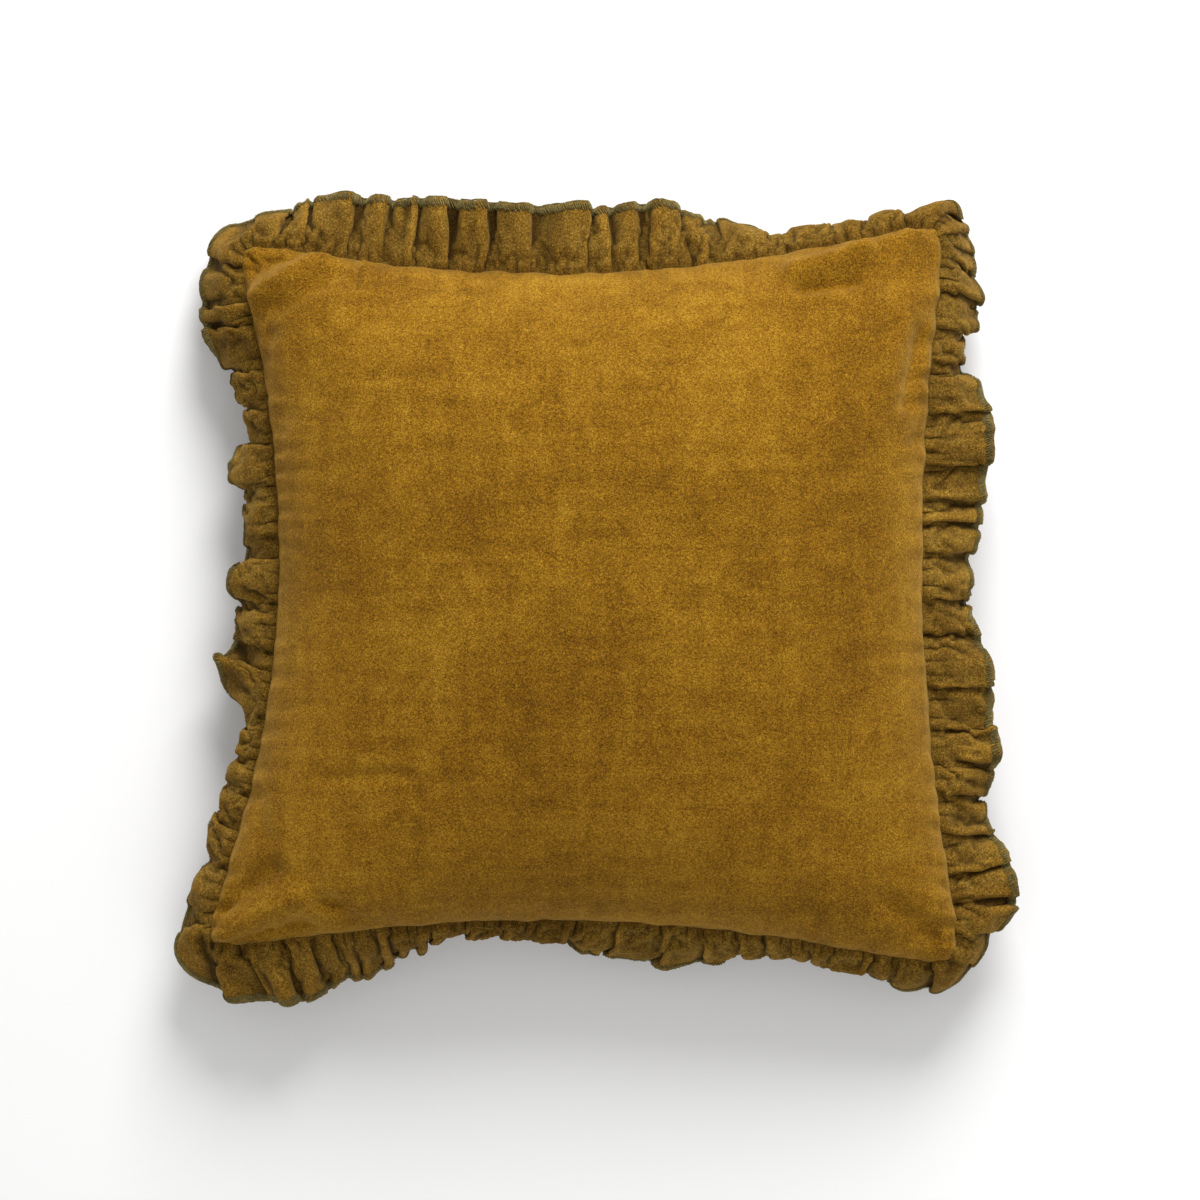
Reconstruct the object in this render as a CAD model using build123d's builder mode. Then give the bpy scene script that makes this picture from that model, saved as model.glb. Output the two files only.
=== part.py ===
from build123d import *
import os

# Square ruffled cushion, lying on its back with its front face up.
# Millimetres. +Z is up, +X is the cushion's right and +Y is its top edge, seen from above.
# The origin is on the floor, under the middle of the whole cushion.

# ---------------------------------------------------------------- driving dimensions
HALF = 221.0            # corner of the sewn outline, before its corners are rounded
CORNER_R = 20.0         # rounding of the sewn corners
EDGE_BOW = 21.0         # how far the middle of each side pulls in between the corners
SEAM_Z = 62.0           # height of the sewn edge above the floor
CROWN = 80.0            # rise of the front above the seam
BELLY = 62.0            # depth of the back below the seam

VELVET = 1.6            # pile fabric thickness
COTTON = 0.4            # thickness of the pad's plain casing
ALLOWANCE = 10.0        # seam allowance turned inside the cover
LAYER_GAP = 0.1         # air between the sewn layers

RUFFLE_OUT = 34.0       # how far the ruffle stands out from the seam
RUFFLE_ROOT = 5.0       # flat part of the ruffle just outside the seam
RUFFLE_PITCH = 29.0     # one gather, crest to crest
RUFFLE_RISE = 6.5       # height of a crest above the seam plane
RUFFLE_BAND = 2.6       # vertical thickness of the waving cloth
EDGE_THREAD = 1.6       # width of the overlocked edge
EDGE_THREAD_BAND = 3.8  # vertical thickness of the overlocked edge

SEAM_THREAD = 0.4       # thickness of the lockstitch that closes the cover
SEAM_THREAD_IN = 6.5    # the lockstitch lies this far inside the sewn edge

PAD_INSET = 14.0        # the pad's own seam lies this far inside the cover's seam
PAD_GAP = 1.0           # air between the cover and the pad
FILL_GAP = 0.3          # air between the casing and the filling
PAD_SEAM_THREAD = 1.0   # whipped edge that closes the casing

ZIP_Y = -183.0          # middle of the zip, on the back's lower slope
ZIP_Z = 30.0
ZIP_NORMAL = (0, -0.787, -0.617)
ZIP_SLOT = 280.0        # length of the opening in the back
ZIP_SLOT_WIDTH = 7.2    # gap between the two turned velvet edges
ZIP_CHAIN = 264.0       # length of the coil between the stops
ZIP_TAPE_LENGTH = 290.0
ZIP_TAPE = 12.0         # width of one woven tape
ZIP_TAPE_T = 0.6
ZIP_DEPTH = 5.0         # the pad keeps this far inside the zip's land
COIL_GAP = 1.4          # gap between the two coils, for the slider's post
COIL_WIDTH = 1.9
COIL_TOP = 0.2
POCKET_LENGTH = 296.0   # flat land that carries the zip
POCKET_WIDTH = 30.0
STOP_LENGTH = 2.6
STOP_RISE = 0.6
STITCH_LINE = 6.6       # stitching, each side of the zip's middle
STITCH_WIDTH = 0.8
STITCH_RISE = 0.3

SLIDER_LENGTH = 8.0
SLIDER_WIDTH = 6.5
SLIDER_TAPER = 0.9
SLIDER_ROUND = 0.8
SLIDER_X = 127.0        # the slider's middle when the zip is closed
SLIDER_CLEAR = 0.4
PLATE_T = 1.0
RAIL_T = 0.35           # lips along the slider's upper cheek
RAIL_DROP = 0.9
RAIL_LENGTH = 3.2
POST = (2.4, 0.7)       # length and width of the wedge between the coils
BAIL = (6.0, 1.2, 2.7)  # length, width and rise of the bridge that holds the pull
BAIL_ROUND = 1.2
BAIL_EYE = (3.6, 1.5)
PULL_PIVOT = 2.65       # pivot height above the velvet's face
PULL_PIN_R = 0.5
PULL_LENGTH = 22.0
PULL_WIDTH = 5.4
PULL_T = 1.0
PULL_ROUND = 1.2        # rounding of the tab's corners
PULL_ARM = (1.2, 4.2)   # half width and reach of the window round the slider's bridge
PULL_HOLE = (1.3, 5.0)  # radius and length of the slot at the pull's free end

# The lower tape and coil are sewn to the lower back panel, nearer the seam, and the upper ones to
# the upper panel. Places along the zip are given in ZIP_PLANE: x along it, y up the slope towards
# the seam, z out of the velvet.

# Each level of the dome: share of its height, inset at mid-side, share of the edge bow left,
# and the same share on the lower side, which is straight where the zip crosses it.
LEVELS = [
    (0.00, 0.0, 1.00, 1.00),
    (0.12, 1.5, 0.92, 0.55),
    (0.32, 7.0, 0.70, 0.00),
    (0.71, 26.0, 0.28, 0.00),
    (0.88, 44.0, 0.08, 0.00),
    (0.97, 64.0, -0.06, 0.00),
    (1.00, 84.0, -0.12, 0.00),
]

ZIP_PLANE = Plane(origin=(0, ZIP_Y, ZIP_Z), x_dir=(1, 0, 0), z_dir=ZIP_NORMAL)
SIDES = {"top": 90, "left": 180, "bottom": 270, "right": 0}


# ---------------------------------------------------------------- outlines
def outline(half, bow, low_half=None, low_bow=None, radius=CORNER_R):
    """A square whose sides pull in at the middle. The lower side may differ from the other three."""
    low_half = half if low_half is None else low_half
    low_bow = bow if low_bow is None else low_bow
    top_left, top_right = (-half, half), (half, half)
    low_left, low_right = (-half, -low_half), (half, -low_half)
    middle_y = (half - low_half) / 2
    with BuildSketch() as shape:
        with BuildLine():
            ThreePointArc(low_left, (0, -low_half + low_bow + 0.01), low_right)
            ThreePointArc(low_right, (half - bow - 0.01, middle_y), top_right)
            ThreePointArc(top_right, (0, half - bow - 0.01), top_left)
            ThreePointArc(top_left, (-half + bow + 0.01, middle_y), low_left)
        make_face()
        fillet(shape.vertices(), radius)
    return shape.sketch


def corner_radius(outset):
    """Rounding of an outline that lies outset outside the sewn one, or inside it when negative."""
    return CORNER_R + 0.6 * max(outset, -15.0)


def seam_outline(outset):
    """The sewn outline, moved outwards by outset (inwards when it is negative)."""
    return outline(HALF + outset, EDGE_BOW, radius=corner_radius(outset))


def ring(outset_in, outset_out, z_low, z_high):
    """A flat band that follows the seam, between two outsets and two heights."""
    with BuildPart() as band:
        with BuildSketch(Plane.XY.offset(z_low)):
            add(seam_outline(outset_out))
            add(seam_outline(outset_in), mode=Mode.SUBTRACT)
        extrude(amount=z_high - z_low)
    return band.part


# ---------------------------------------------------------------- domes
def dome(height, inset=0.0, trim=0.0):
    """One half of a stuffed cushion, from the seam plane up (height > 0) or down (height < 0).
    It is inset all round, and its crown is trimmed."""
    sign = 1 if height > 0 else -1
    reach = abs(height) - trim
    with BuildPart() as body:
        for share, mid_inset, bow_share, low_share in LEVELS:
            bow = EDGE_BOW * bow_share
            low_bow = bow if sign > 0 else EDGE_BOW * low_share
            half = HALF - EDGE_BOW + bow - mid_inset - inset
            low_half = HALF - EDGE_BOW + low_bow - mid_inset - inset
            radius = corner_radius(-inset) + mid_inset * 0.3
            with BuildSketch(Plane.XY.offset(SEAM_Z + sign * reach * share)):
                add(outline(half, bow, low_half, low_bow, radius))
        loft(ruled=True)
    return body.part


def back_dome(inset=0.0, trim=0.0, land=0.0):
    """The lower half, with the flat land that carries the zip, land deep in the velvet."""
    with BuildPart() as body:
        add(dome(-BELLY, inset, trim))
        with Locations(ZIP_PLANE.offset(-land).location):
            Box(
                POCKET_LENGTH + 2 * land,
                POCKET_WIDTH + 2 * land,
                30,
                align=(Align.CENTER, Align.CENTER, Align.MIN),
                mode=Mode.SUBTRACT,
            )
    return body.part


def seam_slab(z_low, z_high):
    """A flat slab larger than the cushion, between two heights."""
    with BuildPart() as slab:
        with Locations((0, 0, (z_low + z_high) / 2)):
            Box(4 * HALF, 4 * HALF, z_high - z_low)
    return slab.part


# ---------------------------------------------------------------- ruffle
def wave_slab(band):
    """A sheet pleated along X, extruded along Y. band is its vertical thickness."""
    steps = 2 * round(2 * HALF / RUFFLE_PITCH)
    crests = [
        ((i - steps / 2) * RUFFLE_PITCH / 2, RUFFLE_RISE * (-1) ** i) for i in range(steps + 1)
    ]
    upper = [(x, z + band / 2) for x, z in crests]
    lower = [(x, z - band / 2) for x, z in crests]
    with BuildPart() as slab:
        with BuildSketch(Plane.XZ.offset(-2 * HALF)):
            with BuildLine():
                Polyline(*upper, *lower[::-1], close=True)
            make_face()
        extrude(amount=2 * HALF)
    return slab.part.moved(Location((0, 0, SEAM_Z)))


def side_sector():
    """The quarter of the plan that belongs to the top side, between the two diagonals."""
    with BuildPart() as sector:
        with BuildSketch(Plane.XY.offset(SEAM_Z - 40)):
            reach = 2 * HALF
            Polygon((0, 0), (reach, reach), (-reach, reach), align=None)
        extrude(amount=80)
    return sector.part


def waving_band(outset_in, outset_out, band):
    """One side's waving strip between two outsets from the seam, on the top side."""
    with BuildPart() as strip:
        add(wave_slab(band))
        add(ring(outset_in, outset_out, SEAM_Z - 40, SEAM_Z + 40), mode=Mode.INTERSECT)
        add(side_sector(), mode=Mode.INTERSECT)
    return strip.part


def flat_root():
    """The gathered root of one side's strip, held flat between the front and the back."""
    with BuildPart() as root:
        add(ring(-ALLOWANCE, RUFFLE_ROOT, SEAM_Z - VELVET / 2, SEAM_Z + VELVET / 2))
        add(side_sector(), mode=Mode.INTERSECT)
    return root.part


# ---------------------------------------------------------------- zip
def on_zip(x, y, z):
    """A place given along the zip, up the slope across it, and out of the velvet."""
    return ZIP_PLANE * Location((x, y, z))


def zip_box(x, y, z_low, length, width, thick, mode=Mode.ADD):
    """A box lying along the zip, its underside at z_low."""
    with Locations(on_zip(x, y, z_low)):
        Box(length, width, thick, align=(Align.CENTER, Align.CENTER, Align.MIN), mode=mode)


def save(piece, name):
    piece.part.label = name
    export_step(piece.part, f"parts/{name}.step")


os.makedirs("parts", exist_ok=True)

LAYER = VELVET / 2 + LAYER_GAP
SHEET_TOP = LAYER + VELVET
TAPE_Z = -VELVET - ZIP_TAPE_T
COIL_MIDDLE = COIL_GAP / 2 + COIL_WIDTH / 2

# ---------------------------------------------------------------- front of the cover
with BuildPart() as front_panel:
    add(dome(CROWN))
    add(dome(CROWN, VELVET, VELVET), mode=Mode.SUBTRACT)
    add(ring(-ALLOWANCE, 0, SEAM_Z + LAYER, SEAM_Z + SHEET_TOP))
    add(seam_slab(SEAM_Z, SEAM_Z + LAYER), mode=Mode.SUBTRACT)
save(front_panel, "front_panel")

# ---------------------------------------------------------------- back of the cover, in two pieces
with BuildPart() as back_shell:
    add(back_dome())
    add(back_dome(VELVET, VELVET, VELVET), mode=Mode.SUBTRACT)
    add(ring(-ALLOWANCE, 0, SEAM_Z - SHEET_TOP, SEAM_Z - LAYER))
    add(seam_slab(SEAM_Z - LAYER, SEAM_Z), mode=Mode.SUBTRACT)
    zip_box(0, 0, -10, ZIP_SLOT, ZIP_SLOT_WIDTH, 20, Mode.SUBTRACT)

ZIP_CUT = Plane.XZ.offset(-ZIP_Y)
for name, keep in (("back_panel_upper", Keep.BOTTOM), ("back_panel_lower", Keep.TOP)):
    with BuildPart() as back_panel:
        add(back_shell.part)
        split(bisect_by=ZIP_CUT, keep=keep)
    save(back_panel, name)

# ---------------------------------------------------------------- ruffle strips and their overlocked edges
for name, turn in SIDES.items():
    around = Rotation(0, 0, turn - 90)
    with BuildPart() as ruffle:
        add(around * waving_band(RUFFLE_ROOT - 1.5, RUFFLE_OUT, RUFFLE_BAND))
        add(around * flat_root())
    save(ruffle, f"ruffle_{name}")
    with BuildPart() as edge_thread:
        add(around * waving_band(RUFFLE_OUT, RUFFLE_OUT + EDGE_THREAD, EDGE_THREAD_BAND))
    save(edge_thread, f"ruffle_edge_thread_{name}")

# ---------------------------------------------------------------- threads of the main seam
with BuildPart() as closing_seam_thread:
    for z_low in (SEAM_Z + SHEET_TOP, SEAM_Z - SHEET_TOP - SEAM_THREAD):
        add(ring(-SEAM_THREAD_IN - SEAM_THREAD * 2, -SEAM_THREAD_IN, z_low, z_low + SEAM_THREAD))
save(closing_seam_thread, "closing_seam_thread")

with BuildPart() as allowance_overlock_thread:
    edge_in = -ALLOWANCE - EDGE_THREAD
    add(ring(edge_in, -ALLOWANCE, SEAM_Z - SHEET_TOP, SEAM_Z + SHEET_TOP))
save(allowance_overlock_thread, "allowance_overlock_thread")

# ---------------------------------------------------------------- zip
for name, side in (("upper", -1), ("lower", 1)):
    with BuildPart() as zip_tape:
        tape_y = side * (COIL_GAP / 2 + 0.3 + ZIP_TAPE / 2)
        zip_box(0, tape_y, TAPE_Z, ZIP_TAPE_LENGTH, ZIP_TAPE, ZIP_TAPE_T)
    save(zip_tape, f"zip_tape_{name}")
    with BuildPart() as zip_coil:
        zip_box(0, side * COIL_MIDDLE, -VELVET, ZIP_CHAIN, COIL_WIDTH, VELVET + COIL_TOP)
    save(zip_coil, f"zip_coil_{name}")

STOP_X = ZIP_CHAIN / 2 + STOP_LENGTH / 2
with BuildPart() as zip_top_stops:
    for side in (1, -1):
        zip_box(STOP_X, side * COIL_MIDDLE, -VELVET, STOP_LENGTH, COIL_WIDTH, VELVET + STOP_RISE)
save(zip_top_stops, "zip_top_stops")

with BuildPart() as zip_bottom_stop:
    stop_width = 2 * COIL_MIDDLE + COIL_WIDTH
    zip_box(-STOP_X, 0, -VELVET, STOP_LENGTH, stop_width, VELVET + STOP_RISE)
save(zip_bottom_stop, "zip_bottom_stop")

with BuildPart() as zip_stitching:
    for side in (1, -1):
        zip_box(0, side * STITCH_LINE, 0, ZIP_SLOT, STITCH_WIDTH, STITCH_RISE)
        end_x = side * (ZIP_SLOT / 2 + STITCH_WIDTH / 2)
        zip_box(end_x, 0, 0, STITCH_WIDTH, 2 * STITCH_LINE + STITCH_WIDTH, STITCH_RISE)
save(zip_stitching, "zip_stitching")

PLATE_Z = COIL_TOP + SLIDER_CLEAR
UNDER_Z = TAPE_Z - SLIDER_CLEAR - PLATE_T
BAIL_LENGTH, BAIL_WIDTH, BAIL_RISE = BAIL
EYE_LENGTH, EYE_HEIGHT = BAIL_EYE
POST_LENGTH, POST_WIDTH = POST


def slider_plate(z_low):
    """One cheek of the slider: full width at the shoulders, narrower at the tail."""
    half_width, tail = SLIDER_WIDTH / 2, SLIDER_WIDTH / 2 - SLIDER_TAPER
    front, rear = SLIDER_LENGTH / 2, -SLIDER_LENGTH / 2
    with BuildPart() as cheek:
        with BuildSketch(Plane(on_zip(SLIDER_X, 0, z_low))) as shield:
            Polygon(
                (front, half_width), (0, half_width), (rear, tail), (rear, -tail),
                (0, -half_width), (front, -half_width), align=None,
            )
            fillet(shield.vertices(), SLIDER_ROUND)
        extrude(amount=PLATE_T)
    return cheek.part


with BuildPart() as zip_slider:
    add(slider_plate(PLATE_Z))
    add(slider_plate(UNDER_Z))
    zip_box(SLIDER_X, 0, UNDER_Z, POST_LENGTH, POST_WIDTH, PLATE_Z - UNDER_Z)
    for side in (1, -1):
        rail_y = side * (SLIDER_WIDTH - RAIL_T) / 2
        zip_box(SLIDER_X + 2, rail_y, PLATE_Z - RAIL_DROP, RAIL_LENGTH, RAIL_T, RAIL_DROP)
    with BuildSketch(Plane(origin=on_zip(SLIDER_X, 0, PLATE_Z + PLATE_T).position,
                           x_dir=(1, 0, 0), z_dir=-ZIP_PLANE.y_dir)):
        with Locations((0, BAIL_RISE / 2)):
            RectangleRounded(BAIL_LENGTH, BAIL_RISE, BAIL_ROUND)
        with Locations((0, BAIL_RISE / 4)):
            Rectangle(BAIL_LENGTH, BAIL_RISE / 2)
        with Locations((0, PULL_PIVOT - PLATE_Z - PLATE_T)):
            RectangleRounded(EYE_LENGTH, EYE_HEIGHT, EYE_HEIGHT / 2 - 0.05, mode=Mode.SUBTRACT)
    extrude(amount=BAIL_WIDTH / 2, both=True)
save(zip_slider, "zip_slider")

PULL_PIVOT_AT = on_zip(SLIDER_X, 0, PULL_PIVOT).position
PULL_PLANE = Plane(origin=PULL_PIVOT_AT, x_dir=ZIP_PLANE.y_dir, z_dir=(1, 0, 0))
ARM_IN, ARM_REACH = PULL_ARM
HOLE_R, HOLE_LONG = PULL_HOLE
with BuildPart() as zip_pull:
    with BuildSketch(PULL_PLANE):
        with Locations((0, (PULL_LENGTH - PULL_PIN_R) / 2)):
            RectangleRounded(PULL_WIDTH, PULL_LENGTH + PULL_PIN_R, PULL_ROUND)
        with Locations((0, (ARM_REACH - PULL_PIN_R) / 2)):
            Rectangle(2 * ARM_IN, ARM_REACH + PULL_PIN_R + 0.02, mode=Mode.SUBTRACT)
        with Locations((0, PULL_LENGTH - HOLE_LONG)):
            SlotOverall(HOLE_LONG, 2 * HOLE_R, rotation=90, mode=Mode.SUBTRACT)
    extrude(amount=PULL_T / 2, both=True)
    with Locations(PULL_PLANE.location * Rotation(0, 90, 0)):
        Cylinder(PULL_PIN_R, PULL_WIDTH - 2 * PULL_ROUND)
save(zip_pull, "zip_pull")

# ---------------------------------------------------------------- pad inside the cover
CASING_TRIM = VELVET + PAD_GAP
FILL_INSET = PAD_INSET + COTTON + FILL_GAP
FILL_TRIM = CASING_TRIM + COTTON + FILL_GAP

with BuildPart() as pad_casing_front:
    add(dome(CROWN, PAD_INSET, CASING_TRIM))
    add(dome(CROWN, PAD_INSET + COTTON, CASING_TRIM + COTTON), mode=Mode.SUBTRACT)
save(pad_casing_front, "pad_casing_front")

with BuildPart() as pad_casing_back:
    add(back_dome(PAD_INSET, CASING_TRIM, ZIP_DEPTH))
    inner = back_dome(PAD_INSET + COTTON, CASING_TRIM + COTTON, ZIP_DEPTH + COTTON)
    add(inner, mode=Mode.SUBTRACT)
save(pad_casing_back, "pad_casing_back")

with BuildPart() as pad_seam_thread:
    seam_half = PAD_SEAM_THREAD / 2
    add(ring(-PAD_INSET, -PAD_INSET + PAD_SEAM_THREAD, SEAM_Z - seam_half, SEAM_Z + seam_half))
save(pad_seam_thread, "pad_seam_thread")

with BuildPart() as pad_filling:
    add(dome(CROWN, FILL_INSET, FILL_TRIM))
    add(back_dome(FILL_INSET, FILL_TRIM, ZIP_DEPTH + COTTON + FILL_GAP))
save(pad_filling, "pad_filling")
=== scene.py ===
import bpy
import numpy as np
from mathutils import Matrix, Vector
from mathutils.bvhtree import BVHTree


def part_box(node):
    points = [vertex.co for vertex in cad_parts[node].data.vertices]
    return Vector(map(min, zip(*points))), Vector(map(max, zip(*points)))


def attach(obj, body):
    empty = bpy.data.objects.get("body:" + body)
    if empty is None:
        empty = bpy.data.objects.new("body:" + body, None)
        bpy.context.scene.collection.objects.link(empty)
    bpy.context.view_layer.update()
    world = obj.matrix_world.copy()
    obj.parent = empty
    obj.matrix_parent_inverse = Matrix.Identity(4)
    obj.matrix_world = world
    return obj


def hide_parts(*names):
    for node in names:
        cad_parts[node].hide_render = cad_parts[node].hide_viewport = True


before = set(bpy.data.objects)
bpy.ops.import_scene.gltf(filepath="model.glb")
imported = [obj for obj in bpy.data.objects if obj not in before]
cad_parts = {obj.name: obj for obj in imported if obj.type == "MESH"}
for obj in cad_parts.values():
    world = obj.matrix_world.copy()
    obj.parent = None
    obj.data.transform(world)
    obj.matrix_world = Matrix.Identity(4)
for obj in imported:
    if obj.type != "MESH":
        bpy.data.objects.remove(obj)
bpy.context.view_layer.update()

# ---- sizes, in metres
SEAM_Z = (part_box("ruffle_top")[0].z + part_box("ruffle_top")[1].z) / 2
CROWN_SPARE = 0.0015  # room left under the CAD's top for the waves of the filling
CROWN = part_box("front_panel")[1].z - SEAM_Z - CROWN_SPARE
BELLY = SEAM_Z + 0.014  # how deep the back would hang if the floor did not flatten it
FLOOR_ROUND = 0.006  # how softly the back turns onto the floor
CLEAR = 0.0004  # the lowest velvet above the floor
SEAM_PULL = 0.0015  # how far the stitches drag the edge in and out
VELVET = 0.0016  # thickness of the velvet
COTTON = 0.0005  # thickness of the pad's casing
PANEL = 0.45  # side of the panel as cut

# Corners of the sewn outline, and how far each side pulls in at its middle.
CORNERS = {
    "top_left": (-0.2255, 0.2225),
    "top_right": (0.2125, 0.2345),
    "low_left": (-0.2450, -0.2140),
    "low_right": (0.2230, -0.2260),
}
BOWS = {"top": 0.0300, "right": 0.0230, "bottom": 0.0270, "left": 0.0410}
BOW_FALL = 1.5  # power at which a side's bow dies out towards the opposite side
CORNER_DRAW = 0.036  # how far the stuffing draws the corners in, as a share
CORNER_SINK = 0.004  # how far the corners sink below the seam's mean height
SIDES = ("top", "right", "bottom", "left")  # clockwise from the top left corner

SQUARE = 2.3  # how square the swell's contours are: 2 is round
STEEP = 0.50  # power of the swell's profile: a lower one rises steeper at the seam

# Waves in the seam's height: how many go round it, their phase and their height.
SEAM_WAVES = ((2, 0.6, 0.0025), (5, 0.0, 0.0018))

# Slow waves of the filling under the front: seed, how many cross the panel, height.
FILLING_WAVES = ((8, 3.0, 0.0009), (9, 9.0, 0.0005))

PUCKER = 0.0034  # height of the ridges square to the seam
PUCKER_COUNTS = range(14, 40)  # waves of them along a side
PUCKER_FADE = 0.010  # how soon they die out, going in from the seam
BACK_PUCKER = 0.6  # the back's ridges over the front's

GRID = 72  # cells along one side of the simulated panels
FINE = 3  # how much finer the finished panels are
CELLS = GRID * FINE

# Creases in the front: start and end in plan, depth, width. A negative depth is a ridge.
CREASES = [
    ((-0.216, 0.199), (-0.186, 0.216), 0.0072, 0.0078),
    ((-0.207, 0.184), (-0.170, 0.205), -0.0060, 0.0065),
    ((-0.200, 0.172), (-0.160, 0.196), 0.0028, 0.0060),
    ((-0.168, 0.206), (-0.120, 0.196), -0.0016, 0.0080),
    ((-0.198, 0.160), (-0.208, 0.136), 0.0022, 0.0060),
    ((-0.190, 0.110), (-0.196, 0.080), 0.0012, 0.0070),
    ((0.120, 0.187), (0.152, 0.191), 0.0064, 0.0042),
    ((0.114, 0.197), (0.158, 0.209), -0.0064, 0.0054),
    ((0.158, 0.209), (0.190, 0.222), -0.0042, 0.0065),
    ((0.172, 0.190), (0.200, 0.206), 0.0028, 0.0080),
    ((0.192, 0.160), (0.184, 0.118), 0.0042, 0.0055),
    ((0.183, 0.168), (0.170, 0.135), -0.0018, 0.0080),
    ((0.196, 0.120), (0.190, 0.096), 0.0016, 0.0060),
    ((-0.163, -0.180), (-0.159, -0.181), 0.0055, 0.0055),
    ((-0.160, -0.105), (-0.112, -0.101), 0.0020, 0.0045),
    ((-0.230, -0.186), (-0.196, -0.160), 0.0050, 0.0070),
    ((-0.214, -0.208), (-0.178, -0.196), 0.0050, 0.0065),
    ((-0.226, -0.198), (-0.182, -0.176), -0.0050, 0.0075),
    ((-0.150, -0.190), (-0.128, -0.196), 0.0018, 0.0060),
    ((-0.200, -0.140), (-0.206, -0.118), 0.0016, 0.0060),
    ((0.200, -0.202), (0.170, -0.178), 0.0036, 0.0075),
    ((0.206, -0.188), (0.186, -0.166), -0.0018, 0.0080),
    ((0.118, -0.176), (0.126, -0.192), 0.0018, 0.0060),
    ((-0.030, 0.180), (0.010, 0.184), 0.0010, 0.0060),
]


# ---- numbers and curves
def unit(v):
    return v / np.maximum(np.linalg.norm(v, axis=-1, keepdims=True), 1e-12)


def smoothstep(x, low, high):
    t = np.clip((x - low) / (high - low), 0, 1)
    return t * t * (3 - 2 * t)


def lengths_along(line):
    """Distance along a line of points, from 0 at the first."""
    return np.concatenate([[0], np.cumsum(np.linalg.norm(np.diff(line, axis=0), axis=1))])


def looped(seed, length, wavelength, count):
    """Smooth noise round a closed line, about -1 to 1, with features of that wavelength."""
    rng = np.random.default_rng(seed)
    s = np.linspace(0, 1, count, endpoint=False)
    waves = max(2, int(round(length / wavelength)))
    out = np.zeros(count)
    for k in range(max(1, waves // 2), waves * 3 // 2 + 1):
        out += rng.normal() * np.cos(2 * np.pi * (k * s + rng.random()))
    return out / max(1e-9, np.abs(out).max())


def patchy(seed, u, v, waves):
    """Smooth noise over plan coordinates from 0 to 1, about -1 to 1, from crossing waves."""
    rng = np.random.default_rng(seed)
    out = np.zeros_like(u)
    for _ in range(18):
        angle, k = rng.uniform(0, 2 * np.pi), waves * rng.uniform(0.5, 1.4)
        phase = rng.uniform(0, 2 * np.pi)
        out += np.cos(2 * np.pi * k * (u * np.cos(angle) + v * np.sin(angle)) + phase)
    return out / np.abs(out).max()


def finer(rows, factor, axis, wrap=False):
    """A grid made finer along one axis, through smooth cubic pieces. wrap joins its ends."""
    rows = np.moveaxis(rows, axis, 0)
    n = rows.shape[0] if wrap else rows.shape[0] - 1
    t = np.arange(n * factor + (0 if wrap else 1)) / factor
    k = np.minimum(t.astype(int), n - 1)
    f = (t - k).reshape((-1,) + (1,) * (rows.ndim - 1))
    if wrap:
        padded = np.concatenate([rows[-1:], rows, rows[:2]])
    else:
        padded = np.concatenate([(2 * rows[0] - rows[1])[None], rows, (2 * rows[-1] - rows[-2])[None]])
    a, b, c, d = (padded[k + i] for i in range(4))
    out = b + 0.5 * f * (c - a + f * (2 * a - 5 * b + 4 * c - d + f * (3 * (b - c) + d - a)))
    return np.moveaxis(out, 0, axis)


def at(grid, row, column):
    """Points of a grid at fractional rows and columns. Columns wrap round."""
    rows, columns = grid.shape[:2]
    row = np.clip(row, 0, rows - 1.000001)
    r, c = np.floor(row).astype(int), np.floor(column).astype(int)
    fr, fc = (row - r)[..., None], (column - c)[..., None]
    c, nxt = c % columns, (c + 1) % columns
    near = grid[r, c] * (1 - fc) + grid[r, nxt] * fc
    far = grid[r + 1, c] * (1 - fc) + grid[r + 1, nxt] * fc
    return near * (1 - fr) + far * fr


def along_line(line, spots):
    """Points of a closed line at fractional indices."""
    low = np.floor(spots).astype(int)
    f = (spots - low)[..., None]
    return line[low % len(line)] * (1 - f) + line[(low + 1) % len(line)] * f


# ---- meshes
def mesh_object(name, points, faces, smooth=True):
    mesh = bpy.data.meshes.new(name)
    mesh.from_pydata(np.asarray(points, float).reshape(-1, 3).tolist(), [], faces)
    mesh.polygons.foreach_set("use_smooth", [smooth] * len(mesh.polygons))
    mesh.update()
    obj = bpy.data.objects.new(name, mesh)
    bpy.context.scene.collection.objects.link(obj)
    return obj


def quads_over(index, closed=False, flip=False):
    """Quads over a grid of vertex numbers. closed joins the last column to the first."""
    if closed:
        index = np.concatenate([index, index[:, :1]], axis=1)
    quads = np.stack([index[:-1, :-1], index[:-1, 1:], index[1:, 1:], index[1:, :-1]], -1)
    quads = quads.reshape(-1, 4)
    return (quads[:, ::-1] if flip else quads).tolist()


def grid_faces(rows, columns, flip=False, closed=False):
    return quads_over(np.arange(rows * columns).reshape(rows, columns), closed, flip)


def grid_normals(grid, closed=False):
    """Unit normals of a grid of points. closed means that its columns wrap round."""
    down = np.gradient(grid, axis=0)
    if closed:
        across = (np.roll(grid, -1, 1) - np.roll(grid, 1, 1)) / 2
    else:
        across = np.gradient(grid, axis=1)
    return unit(np.cross(down, across))


def slab(name, outer, inner):
    """A closed sheet between two grids of the same shape."""
    rows, columns = outer.shape[:2]
    top = np.arange(rows * columns).reshape(rows, columns)
    low = top + rows * columns
    rim = [
        (top[0], low[0]), (low[-1], top[-1]),
        (low[:, 0], top[:, 0]), (top[:, -1], low[:, -1]),
    ]
    faces = quads_over(top) + quads_over(low, flip=True)
    for one, other in rim:
        faces += np.stack([one[:-1], other[:-1], other[1:], one[1:]], -1).tolist()
    return mesh_object(name, np.concatenate([outer.reshape(-1, 3), inner.reshape(-1, 3)]), faces)


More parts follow.
